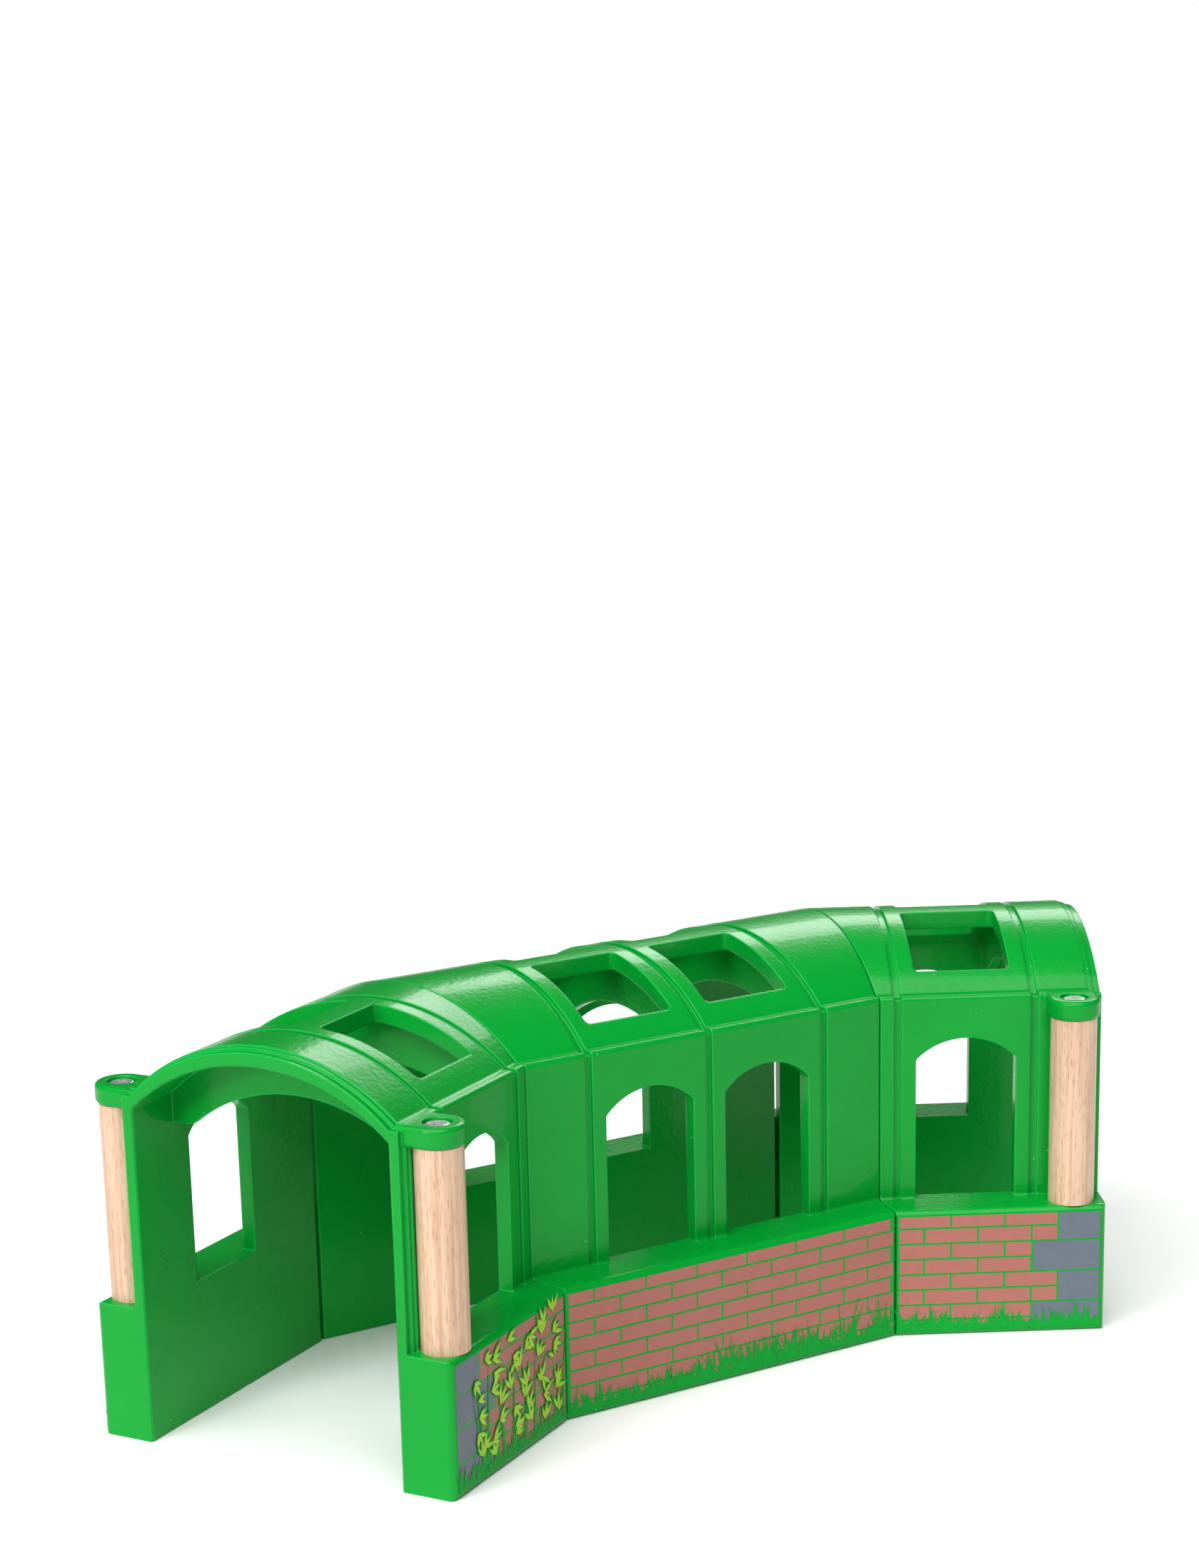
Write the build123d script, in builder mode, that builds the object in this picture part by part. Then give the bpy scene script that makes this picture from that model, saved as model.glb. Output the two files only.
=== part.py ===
from build123d import *
from math import cos, radians, sin, sqrt, tan
import os

os.makedirs("parts", exist_ok=True)

# Bendable toy railway tunnel: a two-bay middle section with a one-bay section hinged to each end.
# Millimetres. +Z is up, the tunnel stands on Z = 0, X runs along the middle section and
# the near side, which faces -Y, is the inside of the bend. The rest pose is the closed bend.

# cross-section
bore_half = 36.0            # half the clear width between the walls
wall_half = 39.8            # half the width over the upper walls
plinth_half = 50.7          # half the width over the plinths
plinth_height = 34.7
eave_height = 90.1
roof_crown = 104.6
roof_radius = 53.9
vault_crown = 100.0
vault_radius = 52.6
web_crown = 89.0            # underside of the arched webs that stiffen the vault
web_radius = 47.0
web_foot = 78.2
web_thickness = 2.4

# bays
bay_pitch = 36.0            # groove to groove
window_width = 26.3
window_spring = 73.0
window_crown = 78.6
skylight_length = 25.4
skylight_inner = 3.7        # from the centre line to the nearer long edge
skylight_outer = 31.0
groove_width = 2.1
groove_depth = 1.0

# plan
bend_angle = 30.0           # each joint, closed
middle_half_length = 64.9   # centre of the tunnel to the seam, on the centre line
seam_run = 15.35            # seam to the first groove of an end section, on the centre line
mouth_reach = 53.7          # that groove to the open mouth
seam_gap = 0.36
far_relief = 1.4            # extra gap where the seam meets the far wall

# mouth rim
rim_width = 2.0
rim_depth = 1.1
bead_width = 1.4
bead_depth = 0.4

# rounding
plinth_top_round = 1.7
plinth_foot_round = 1.5
plinth_corner_round = 2.0
seam_corner_round = 0.8
eave_round = 1.1
eave_hollow = 0.8
foot_hollow = 0.8
vault_round = 1.2
opening_round = 1.4
mouth_round = 0.5

# columns
column_radius = 6.0
column_station = 45.4       # along the end section, from its first groove
column_offset = 44.5        # from the centre line
column_clearance = 0.15
ear_radius = 6.7
ear_thickness = 5.3
ear_round = 1.2
head_recess_radius = 3.7
head_recess_depth = 2.3

# column screws
screw_radius = 1.75
screw_clearance = 0.06
screw_head_radius = 3.2
screw_head_height = 1.9
top_screw_length = 20.0
foot_screw_bite = 14.0
foot_boss_radius = 4.3
foot_boss_drop = 5.0

# hollow plinths and their foot plates
skin = 2.6
deck = 3.0
end_block = 6.0             # solid ends that hold the magnets
hinge_block = 8.5           # solid ends that carry the hinges
plate_thickness = 2.4
plate_clearance = 0.15
plate_screw_radius = 1.1
plate_head_radius = 2.1
plate_screw_length = 9.0
plate_boss_radius = 3.2

# hinges
hinge_offset = 44.0         # pin axis to the centre line
knuckle_radius = 5.4
knuckle_clearance = 0.35
pin_radius = 1.5
pin_running_clearance = 0.05
pin_seat_clearance = 0.02
pin_top_cover = 4.5
pin_foot_cover = 0.8
knuckle_split_low = 11.6
knuckle_split_high = 23.0
knuckle_top_cover = 2.4
washer_thickness = 1.0
washer_play = 0.15
washer_radius = 4.6

# magnets
magnet_radius = 4.0
magnet_length = 3.0
magnet_clearance = 0.04
magnet_setback = 0.1
magnet_height = 17.0
magnet_offset = 43.4

mitre = radians(bend_angle / 2)
bend = radians(bend_angle)
roof_centre = roof_crown - roof_radius
vault_centre = vault_crown - vault_radius
vault_spring = vault_centre + sqrt(vault_radius**2 - bore_half**2)
web_centre = web_crown - web_radius
gap_run = seam_gap / 2 / cos(mitre)
ear_top = eave_height
ear_foot = ear_top - ear_thickness
column_height = ear_foot - plinth_height
bay_centre = bay_pitch / 2

# the frame's origin is the middle of the plan, so the middle section sits off the X axis
near_reach = (seam_run + mouth_reach) * sin(bend) + plinth_half * cos(bend)
side_shift = (near_reach - plinth_half) / 2
middle_frame = Plane(origin=(0, side_shift, 0), x_dir=(1, 0, 0), z_dir=(0, 0, 1))
rear_frame = Plane(
    origin=(middle_half_length + seam_run * cos(bend), side_shift - seam_run * sin(bend), 0),
    x_dir=(cos(bend), -sin(bend), 0),
    z_dir=(0, 0, 1),
)


def plan_plane(frame, height):
    return Plane(origin=frame.from_local_coords((0, 0, height)), x_dir=frame.x_dir, z_dir=(0, 0, 1))


def cross_plane(frame, station):
    return Plane(origin=frame.from_local_coords((station, 0, 0)), x_dir=frame.y_dir, z_dir=frame.x_dir)


def side_plane(frame):
    return Plane(origin=frame.origin, x_dir=frame.x_dir, z_dir=-frame.y_dir)


def corners_at(across, up):
    return [v for v in vertices() if abs(abs(v.X) - across) < 0.01 and abs(v.Y - up) < 0.01]


def roof_half(inset):
    return sqrt((roof_radius - inset) ** 2 - (eave_height - inset - roof_centre) ** 2)


def section_profile():
    spring = roof_half(0)
    with BuildSketch() as face:
        with BuildLine():
            Polyline((-bore_half, vault_spring), (-bore_half, 0), (-plinth_half, 0), (-plinth_half, plinth_height),
                     (-wall_half, plinth_height), (-wall_half, eave_height), (-spring, eave_height))
            ThreePointArc((-spring, eave_height), (0, roof_crown), (spring, eave_height))
            Polyline((spring, eave_height), (wall_half, eave_height), (wall_half, plinth_height),
                     (plinth_half, plinth_height), (plinth_half, 0), (bore_half, 0), (bore_half, vault_spring))
            ThreePointArc((bore_half, vault_spring), (0, vault_crown), (-bore_half, vault_spring))
        make_face()
        fillet(corners_at(plinth_half, plinth_height), plinth_top_round)
        fillet(corners_at(plinth_half, 0), plinth_foot_round)
        fillet(corners_at(wall_half, plinth_height), foot_hollow)
        fillet(corners_at(wall_half, eave_height), eave_round)
        fillet(corners_at(spring, eave_height), eave_hollow)
        fillet(corners_at(bore_half, vault_spring), vault_round)
        fillet(corners_at(bore_half, 0), mouth_round)
    return face.sketch


def upper_ring(inset):
    # what a channel of this depth takes off the outside, above the plinth
    with BuildSketch() as face:
        with BuildLine():
            Polyline((-plinth_half, plinth_height), (plinth_half, plinth_height), (plinth_half, roof_crown + 5),
                     (-plinth_half, roof_crown + 5), close=True)
        make_face()
        half, eave, spring = wall_half - inset, eave_height - inset, roof_half(inset)
        with BuildLine():
            Polyline((-spring, eave), (-half, eave), (-half, plinth_height), (half, plinth_height), (half, eave), (spring, eave))
            ThreePointArc((spring, eave), (0, roof_crown - inset), (-spring, eave))
        make_face(mode=Mode.SUBTRACT)
    return face.sketch


def bore_face(grow):
    # clear opening, from below the floor to the vault
    half = bore_half + grow
    spring = vault_centre + sqrt((vault_radius + grow) ** 2 - half**2)
    with BuildSketch() as face:
        with BuildLine():
            Polyline((-half, spring), (-half, -mouth_round), (half, -mouth_round), (half, spring))
            ThreePointArc((half, spring), (0, vault_crown + grow), (-half, spring))
        make_face()
    return face.sketch


def web_face():
    # arched web, let into the vault so that it grows out of it
    root = (vault_crown + roof_crown) / 2 - vault_crown
    half = (bore_half + wall_half) / 2
    foot = sqrt(web_radius**2 - (web_foot - web_centre) ** 2)
    top = vault_centre + sqrt((vault_radius + root) ** 2 - half**2)
    with BuildSketch() as face:
        with BuildLine():
            Polyline((-foot, web_foot), (-half, web_foot), (-half, top))
            ThreePointArc((-half, top), (0, vault_crown + root), (half, top))
            Polyline((half, top), (half, web_foot), (foot, web_foot))
            ThreePointArc((foot, web_foot), (0, web_crown), (-foot, web_foot))
        make_face()
        fillet(corners_at(foot, web_foot), vault_round * 2)
    return face.sketch


def window_face(centre):
    half = window_width / 2
    with BuildSketch() as face:
        with BuildLine():
            Polyline((centre - half, window_spring), (centre - half, plinth_height),
                     (centre + half, plinth_height), (centre + half, window_spring))
            ThreePointArc((centre + half, window_spring), (centre, window_crown), (centre - half, window_spring))
        make_face()
        fillet([v for v in vertices() if abs(v.Y - window_spring) < 0.01 and abs(abs(v.X - centre) - half) < 0.01],
               opening_round)
    return face.sketch


def seam_out(across):
    # the middle section's seam face, at this distance across
    return middle_half_length + across * tan(mitre) - gap_run


def seam_in(across):
    # an end section's seam face, from its first groove
    return -seam_run - across * tan(mitre) + gap_run


hinge_out = middle_half_length + hinge_offset * tan(mitre)
hinge_in = -seam_run - hinge_offset * tan(mitre)
meet = hinge_offset + (gap_run - seam_gap / 2) / tan(mitre)


def middle_plan():
    right = [(seam_out(-plinth_half), -plinth_half), (hinge_out - seam_gap / 2, meet), (hinge_out - seam_gap / 2, plinth_half)]
    left = [(-x, y) for x, y in reversed(right)]
    with BuildSketch() as face:
        with BuildLine():
            Polyline(*right, *left, close=True)
        make_face()
        fillet([v for v in vertices() if abs(abs(v.Y) - plinth_half) < 0.01], seam_corner_round)
    return face.sketch


def end_plan():
    with BuildSketch() as face:
        with BuildLine():
            Polyline((seam_in(-plinth_half), -plinth_half), (mouth_reach, -plinth_half), (mouth_reach, plinth_half),
                     (hinge_in + seam_gap / 2, plinth_half), (hinge_in + seam_gap / 2, meet),
                     (seam_in(wall_half) + far_relief, wall_half), (seam_in(0), 0), close=True)
        make_face()
        fillet([v for v in vertices() if abs(abs(v.Y) - plinth_half) < 0.01 and v.X > 0.9 * mouth_reach], plinth_corner_round)
        fillet([v for v in vertices() if abs(abs(v.Y) - plinth_half) < 0.01 and v.X < 0.5 * mouth_reach], seam_corner_round)
    return face.sketch


def near_hollow(inset, mouth):
    # plan of a near plinth's hollow, or of the plate that closes it, from the middle of its length
    inner, outer = -bore_half - skin - inset, -plinth_half + skin + inset
    if mouth:
        run = gap_run + (end_block + inset) / cos(mitre)
        start = [(seam_in(inner) - gap_run + run, inner), (seam_in(outer) - gap_run + run, outer)]
        stop = [(mouth_reach - skin - inset, outer), (mouth_reach - skin - inset, inner)]
    else:
        run = (end_block + inset) / cos(mitre)
        stop = [(seam_out(outer) - run, outer), (seam_out(inner) - run, inner)]
        start = [(-x, y) for x, y in reversed(stop)]
    with BuildSketch() as face:
        with BuildLine():
            Polyline(*start, *stop, close=True)
        make_face()
        fillet(vertices(), 1.0)
    return face.sketch


def far_hollow(inset, mouth):
    inner, outer = bore_half + skin + inset, plinth_half - skin - inset
    if mouth:
        low, high = hinge_in + hinge_block + inset, mouth_reach - skin - inset
    else:
        high = hinge_out - hinge_block - inset
        low = -high
    with BuildSketch() as face:
        with BuildLine():
            Polyline((low, inner), (high, inner), (high, outer), (low, outer), close=True)
        make_face()
        fillet(vertices(), 1.0)
    return face.sketch


middle_plate_near = [(-36.0, -magnet_offset), (0.0, -magnet_offset), (36.0, -magnet_offset)]
middle_plate_far = [(-50.0, magnet_offset), (0.0, magnet_offset), (50.0, magnet_offset)]
end_plate_near = [(12.0, -magnet_offset), (36.0, -magnet_offset)]
end_plate_far = [(-12.0, magnet_offset), (30.0, magnet_offset)]
columns = [(column_station, -column_offset), (column_station, column_offset)]
boss_top = plinth_height - deck
knuckle_top = plinth_height - knuckle_top_cover

# ear that caps a column, with its flat back towards the wall (-Y) and its top at Z = 0
with BuildPart() as ear:
    with BuildSketch(Plane.XY.offset(-ear_thickness)):
        Circle(ear_radius)
        with Locations((0, -(column_offset - bore_half - skin) / 2)):
            Rectangle(2 * ear_radius, column_offset - bore_half - skin)
    extrude(amount=ear_thickness)
    outer = [e for e in edges() if abs(e.center().Z) < 0.01 or abs(e.center().Z + ear_thickness) < 0.01]
    fillet([e for e in outer if e.center().Y > -(column_offset - wall_half)], ear_round)

# middle section: walls, vault and plinths in one moulding
with BuildPart() as middle_shell:
    reach = hinge_out + 10
    with BuildSketch(cross_plane(middle_frame, -reach)):
        add(section_profile())
    extrude(amount=2 * reach)
    for station in (-bay_pitch, 0, bay_pitch):
        with BuildSketch(cross_plane(middle_frame, station - web_thickness / 2)):
            add(web_face())
        extrude(amount=web_thickness)
    for station in (-bay_pitch, 0, bay_pitch):
        with BuildSketch(cross_plane(middle_frame, station - groove_width / 2)):
            add(upper_ring(groove_depth))
        extrude(amount=groove_width, mode=Mode.SUBTRACT)
    for centre in (-bay_centre, bay_centre):
        with BuildSketch(side_plane(middle_frame)):
            add(window_face(centre))
        extrude(amount=plinth_half, both=True, mode=Mode.SUBTRACT)
    with BuildSketch(plan_plane(middle_frame, web_foot)):
        for centre in (-bay_centre, bay_centre):
            with Locations((centre, (skylight_inner + skylight_outer) / 2), (centre, -(skylight_inner + skylight_outer) / 2)):
                RectangleRounded(skylight_length, skylight_outer - skylight_inner, opening_round)
    extrude(amount=roof_crown - web_foot + 5, mode=Mode.SUBTRACT)
    with BuildSketch(plan_plane(middle_frame, 0)):
        add(middle_plan())
    extrude(amount=roof_crown + 5, mode=Mode.INTERSECT)
    # room for the end sections' knuckles, then this section's own
    with BuildSketch(plan_plane(middle_frame, knuckle_split_low - washer_thickness)):
        with Locations((hinge_out, hinge_offset), (-hinge_out, hinge_offset)):
            Circle(knuckle_radius + knuckle_clearance)
    extrude(amount=knuckle_split_high - knuckle_split_low + 2 * washer_thickness, mode=Mode.SUBTRACT)
    for low, high in ((0.0, knuckle_split_low - washer_thickness), (knuckle_split_high + washer_thickness, knuckle_top)):
        with BuildSketch(plan_plane(middle_frame, low)):
            with Locations((hinge_out, hinge_offset), (-hinge_out, hinge_offset)):
                Circle(knuckle_radius)
        extrude(amount=high - low)
    with BuildSketch(plan_plane(middle_frame, 0)):
        with Locations((hinge_out, hinge_offset), (-hinge_out, hinge_offset)):
            Circle(pin_radius + pin_seat_clearance)
    extrude(amount=plinth_height - pin_top_cover, mode=Mode.SUBTRACT)
    # hollow plinths with bosses for the foot plates
    with BuildSketch(plan_plane(middle_frame, 0)):
        add(near_hollow(0, False))
        add(far_hollow(0, False))
    extrude(amount=boss_top, mode=Mode.SUBTRACT)
    with BuildSketch(plan_plane(middle_frame, plate_thickness)):
        with Locations(*middle_plate_near, *middle_plate_far):
            Circle(plate_boss_radius)
    extrude(amount=boss_top - plate_thickness)
    with BuildSketch(plan_plane(middle_frame, plate_thickness)):
        with Locations(*middle_plate_near, *middle_plate_far):
            Circle(plate_screw_radius + screw_clearance)
    extrude(amount=plate_screw_length, mode=Mode.SUBTRACT)
    # blind seats for the magnets
    for side in (1, -1):
        seat = Plane(
            origin=middle_frame.from_local_coords((side * seam_out(-magnet_offset), -magnet_offset, magnet_height)),
            z_dir=(side * cos(mitre), -sin(mitre), 0),
        )
        with BuildSketch(seat):
            Circle(magnet_radius + magnet_clearance)
        extrude(amount=-magnet_length - magnet_setback, mode=Mode.SUBTRACT)
middle_shell.part.label = "middle_shell"
export_step(middle_shell.part, "parts/middle_shell.step")

# rear section; the front section is its mirror image
with BuildPart() as rear_shell:
    start = hinge_in - 10
    with BuildSketch(cross_plane(rear_frame, start)):
        add(section_profile())
    extrude(amount=mouth_reach - start)
    for station in (0, bay_pitch):
        with BuildSketch(cross_plane(rear_frame, station - web_thickness / 2)):
            add(web_face())
        extrude(amount=web_thickness)
    for station in (0, bay_pitch):
        with BuildSketch(cross_plane(rear_frame, station - groove_width / 2)):
            add(upper_ring(groove_depth))
        extrude(amount=groove_width, mode=Mode.SUBTRACT)
    for depth, width in ((bead_depth, rim_width + bead_width), (rim_depth, rim_width)):
        with BuildSketch(cross_plane(rear_frame, mouth_reach - width)):
            add(upper_ring(depth))
        extrude(amount=width, mode=Mode.SUBTRACT)
    with BuildSketch(side_plane(rear_frame)):
        add(window_face(bay_centre))
    extrude(amount=plinth_half, both=True, mode=Mode.SUBTRACT)
    with BuildSketch(plan_plane(rear_frame, web_foot)):
        with Locations((bay_centre, (skylight_inner + skylight_outer) / 2), (bay_centre, -(skylight_inner + skylight_outer) / 2)):
            RectangleRounded(skylight_length, skylight_outer - skylight_inner, opening_round)
    extrude(amount=roof_crown - web_foot + 5, mode=Mode.SUBTRACT)
    with BuildSketch(plan_plane(rear_frame, 0)):
        add(end_plan())
    extrude(amount=roof_crown + 5, mode=Mode.INTERSECT)
    # break the inner edge of the mouth
    with BuildSketch(cross_plane(rear_frame, mouth_reach)):
        add(bore_face(mouth_round))
    with BuildSketch(cross_plane(rear_frame, mouth_reach - mouth_round)):
        add(bore_face(0))
    loft(mode=Mode.SUBTRACT)
    # columns: niche in the wall, ear under the eave, screw holes above and below
    with BuildSketch(plan_plane(rear_frame, plinth_height)):
        with Locations(*columns):
            Circle(column_radius + column_clearance)
    extrude(amount=column_height, mode=Mode.SUBTRACT)
    for side, turn in ((1, 0), (-1, 180)):
        spot = Plane(origin=rear_frame.from_local_coords((column_station, side * column_offset, ear_top)),
                     x_dir=rear_frame.x_dir * side, z_dir=(0, 0, 1))
        with Locations(spot.location):
            add(ear.part)
    with BuildSketch(plan_plane(rear_frame, ear_top)):
        with Locations(*columns):
            Circle(head_recess_radius)
    extrude(amount=-head_recess_depth, mode=Mode.SUBTRACT)
    with BuildSketch(plan_plane(rear_frame, ear_foot)):
        with Locations(*columns):
            Circle(screw_radius + screw_clearance)
    extrude(amount=ear_thickness, mode=Mode.SUBTRACT)
    # room for the middle section's knuckles, then this section's own
    for low, high in ((0.0, knuckle_split_low + washer_play), (knuckle_split_high - washer_play, knuckle_top + knuckle_clearance)):
        with BuildSketch(plan_plane(rear_frame, low)):
            with Locations((hinge_in, hinge_offset)):
                Circle(knuckle_radius + knuckle_clearance)
        extrude(amount=high - low, mode=Mode.SUBTRACT)
    with BuildSketch(plan_plane(rear_frame, knuckle_split_low + washer_play)):
        with Locations((hinge_in, hinge_offset)):
            Circle(knuckle_radius)
    extrude(amount=knuckle_split_high - knuckle_split_low - 2 * washer_play)
    with BuildSketch(plan_plane(rear_frame, knuckle_split_low)):
        with Locations((hinge_in, hinge_offset)):
            Circle(pin_radius + pin_running_clearance)
    extrude(amount=knuckle_split_high - knuckle_split_low, mode=Mode.SUBTRACT)
    # hollow plinths with bosses for the foot plates and the column screws
    with BuildSketch(plan_plane(rear_frame, 0)):
        add(near_hollow(0, True))
        add(far_hollow(0, True))
    extrude(amount=boss_top, mode=Mode.SUBTRACT)
    with BuildSketch(plan_plane(rear_frame, plate_thickness)):
        with Locations(*end_plate_near, *end_plate_far):
            Circle(plate_boss_radius)
    extrude(amount=boss_top - plate_thickness)
    with BuildSketch(plan_plane(rear_frame, boss_top - foot_boss_drop)):
        with Locations(*columns):
            Circle(foot_boss_radius)
    extrude(amount=foot_boss_drop)
    with BuildSketch(plan_plane(rear_frame, boss_top - foot_boss_drop)):
        with Locations(*columns):
            Circle(screw_radius + screw_clearance)
    extrude(amount=foot_boss_drop + deck, mode=Mode.SUBTRACT)
    with BuildSketch(plan_plane(rear_frame, plate_thickness)):
        with Locations(*end_plate_near, *end_plate_far):
            Circle(plate_screw_radius + screw_clearance)
    extrude(amount=plate_screw_length, mode=Mode.SUBTRACT)
    seat = Plane(
        origin=rear_frame.from_local_coords((seam_in(-magnet_offset), -magnet_offset, magnet_height)),
        z_dir=-rear_frame.x_dir * cos(mitre) - rear_frame.y_dir * sin(mitre),
    )
    with BuildSketch(seat):
        Circle(magnet_radius + magnet_clearance)
    extrude(amount=-magnet_length - magnet_setback, mode=Mode.SUBTRACT)
rear_shell.part.label = "rear_shell"
export_step(rear_shell.part, "parts/rear_shell.step")


def screw(head_radius, head_height, shank_radius, length):
    # cross-recess screw, head up, with the underside of its head at Z = 0
    with BuildPart() as body:
        with BuildSketch():
            Circle(head_radius)
        extrude(amount=head_height)
        fillet(edges().filter_by(GeomType.CIRCLE).sort_by(Axis.Z)[-1], head_height * 0.45)
        with BuildSketch(Plane.XY.offset(head_height)):
            Rectangle(head_radius * 1.1, head_radius * 0.26)
            Rectangle(head_radius * 0.26, head_radius * 1.1)
        extrude(amount=-head_height * 0.6, mode=Mode.SUBTRACT)
        with BuildSketch():
            Circle(shank_radius)
        extrude(amount=-length)
        chamfer(edges().filter_by(GeomType.CIRCLE).sort_by(Axis.Z)[0], shank_radius * 0.5)
    return body.part


def pinned(solid, frame, spot, height, upright=True):
    # a fastening moved to its place on a section, head up or head down
    place = Plane(origin=frame.from_local_coords((spot[0], spot[1], height)), x_dir=frame.x_dir,
                  z_dir=(0, 0, 1 if upright else -1))
    return place.location * solid


def hand_in(name, solid):
    solid.label = name
    export_step(solid, f"parts/{name}.step")


column_screw = screw(screw_head_radius, screw_head_height, screw_radius, top_screw_length)
foot_screw = screw(screw_head_radius, screw_head_height, screw_radius, foot_boss_drop + deck + foot_screw_bite)
plate_screw = screw(plate_head_radius, 1.2, plate_screw_radius, plate_screw_length - 0.5)

# the front section mirrors the rear one
front_shell = mirror(rear_shell.part, about=Plane.YZ)
hand_in("front_shell", front_shell)

# columns, drilled at both ends for their screws
with BuildPart() as column:
    with BuildSketch():
        Circle(column_radius)
    extrude(amount=column_height)
    with BuildSketch():
        Circle(screw_radius)
    extrude(amount=foot_screw_bite + 0.5, mode=Mode.SUBTRACT)
    with BuildSketch(Plane.XY.offset(column_height)):
        Circle(screw_radius)
    extrude(amount=-(top_screw_length - (ear_thickness - head_recess_depth) + 0.5), mode=Mode.SUBTRACT)

for side, spot in zip(("near", "far"), columns):
    pieces = {
        "column": pinned(column.part, rear_frame, spot, plinth_height),
        "column_top_screw": pinned(column_screw, rear_frame, spot, ear_top - head_recess_depth),
        "column_foot_screw": pinned(foot_screw, rear_frame, spot, boss_top - foot_boss_drop, upright=False),
    }
    for name, solid in pieces.items():
        hand_in(f"rear_{side}_{name}", solid)
        hand_in(f"front_{side}_{name}", mirror(solid, about=Plane.YZ))

# hinges: a pin gripped by the middle section's knuckles and two washers round it
with BuildPart() as hinge_pin:
    with BuildSketch():
        Circle(pin_radius)
    extrude(amount=plinth_height - pin_top_cover - pin_foot_cover)
    chamfer(edges().filter_by(GeomType.CIRCLE), 0.3)

with BuildPart() as washer:
    with BuildSketch():
        Circle(washer_radius)
        Circle(pin_radius + pin_running_clearance, mode=Mode.SUBTRACT)
    extrude(amount=washer_thickness)

hinge_spot = (hinge_out, hinge_offset)
pieces = {
    "hinge_pin": pinned(hinge_pin.part, middle_frame, hinge_spot, pin_foot_cover),
    "hinge_lower_washer": pinned(washer.part, middle_frame, hinge_spot, knuckle_split_low - washer_thickness),
    "hinge_upper_washer": pinned(washer.part, middle_frame, hinge_spot, knuckle_split_high),
}
for name, solid in pieces.items():
    hand_in(f"rear_{name}", solid)
    hand_in(f"front_{name}", mirror(solid, about=Plane.YZ))

# foot plates that close the hollow plinths
with BuildPart() as middle_near_plate:
    with BuildSketch(plan_plane(middle_frame, 0)):
        add(near_hollow(plate_clearance, False))
        with Locations(*middle_plate_near):
            Circle(plate_screw_radius + screw_clearance, mode=Mode.SUBTRACT)
    extrude(amount=plate_thickness)
    with BuildSketch(plan_plane(middle_frame, 0)):
        with Locations(*middle_plate_near):
            Circle(plate_head_radius + 0.3)
    extrude(amount=plate_thickness / 2, mode=Mode.SUBTRACT)

with BuildPart() as middle_far_plate:
    with BuildSketch(plan_plane(middle_frame, 0)):
        add(far_hollow(plate_clearance, False))
        with Locations(*middle_plate_far):
            Circle(plate_screw_radius + screw_clearance, mode=Mode.SUBTRACT)
    extrude(amount=plate_thickness)
    with BuildSketch(plan_plane(middle_frame, 0)):
        with Locations(*middle_plate_far):
            Circle(plate_head_radius + 0.3)
    extrude(amount=plate_thickness / 2, mode=Mode.SUBTRACT)

with BuildPart() as end_near_plate:
    with BuildSketch(plan_plane(rear_frame, 0)):
        add(near_hollow(plate_clearance, True))
        with Locations(*end_plate_near):
            Circle(plate_screw_radius + screw_clearance, mode=Mode.SUBTRACT)
    extrude(amount=plate_thickness)
    with BuildSketch(plan_plane(rear_frame, 0)):
        with Locations(*end_plate_near):
            Circle(plate_head_radius + 0.3)
    extrude(amount=plate_thickness / 2, mode=Mode.SUBTRACT)

with BuildPart() as end_far_plate:
    with BuildSketch(plan_plane(rear_frame, 0)):
        add(far_hollow(plate_clearance, True))
        with Locations(*end_plate_far):
            Circle(plate_screw_radius + screw_clearance, mode=Mode.SUBTRACT)
    extrude(amount=plate_thickness)
    with BuildSketch(plan_plane(rear_frame, 0)):
        with Locations(*end_plate_far):
            Circle(plate_head_radius + 0.3)
    extrude(amount=plate_thickness / 2, mode=Mode.SUBTRACT)

hand_in("middle_near_plate", middle_near_plate.part)
hand_in("middle_far_plate", middle_far_plate.part)
hand_in("rear_near_plate", end_near_plate.part)
hand_in("rear_far_plate", end_far_plate.part)
hand_in("front_near_plate", mirror(end_near_plate.part, about=Plane.YZ))
hand_in("front_far_plate", mirror(end_far_plate.part, about=Plane.YZ))

# plate screws, one file for each plate
screw_seat = plate_thickness / 2
for side, middle_spots, end_spots in (("near", middle_plate_near, end_plate_near), ("far", middle_plate_far, end_plate_far)):
    middle_set = Compound([pinned(plate_screw, middle_frame, spot, screw_seat, upright=False) for spot in middle_spots])
    rear_set = Compound([pinned(plate_screw, rear_frame, spot, screw_seat, upright=False) for spot in end_spots])
    hand_in(f"middle_{side}_plate_screws", middle_set)
    hand_in(f"rear_{side}_plate_screws", rear_set)
    hand_in(f"front_{side}_plate_screws", Compound([mirror(one, about=Plane.YZ) for one in rear_set.solids()]))

# magnets that hold the bend closed
with BuildPart() as magnet:
    with BuildSketch():
        Circle(magnet_radius)
    extrude(amount=-magnet_length)
    chamfer(edges().filter_by(GeomType.CIRCLE), 0.2)

middle_seat = Plane(
    origin=middle_frame.from_local_coords((seam_out(-magnet_offset), -magnet_offset, magnet_height)),
    z_dir=(cos(mitre), -sin(mitre), 0),
)
end_seat = Plane(
    origin=rear_frame.from_local_coords((seam_in(-magnet_offset), -magnet_offset, magnet_height)),
    z_dir=-rear_frame.x_dir * cos(mitre) - rear_frame.y_dir * sin(mitre),
)
pieces = {
    "middle_rear_magnet": middle_seat.offset(-magnet_setback).location * magnet.part,
    "rear_magnet": end_seat.offset(-magnet_setback).location * magnet.part,
}
hand_in("middle_rear_magnet", pieces["middle_rear_magnet"])
hand_in("rear_magnet", pieces["rear_magnet"])
hand_in("middle_front_magnet", mirror(pieces["middle_rear_magnet"], about=Plane.YZ))
hand_in("front_magnet", mirror(pieces["rear_magnet"], about=Plane.YZ))
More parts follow.
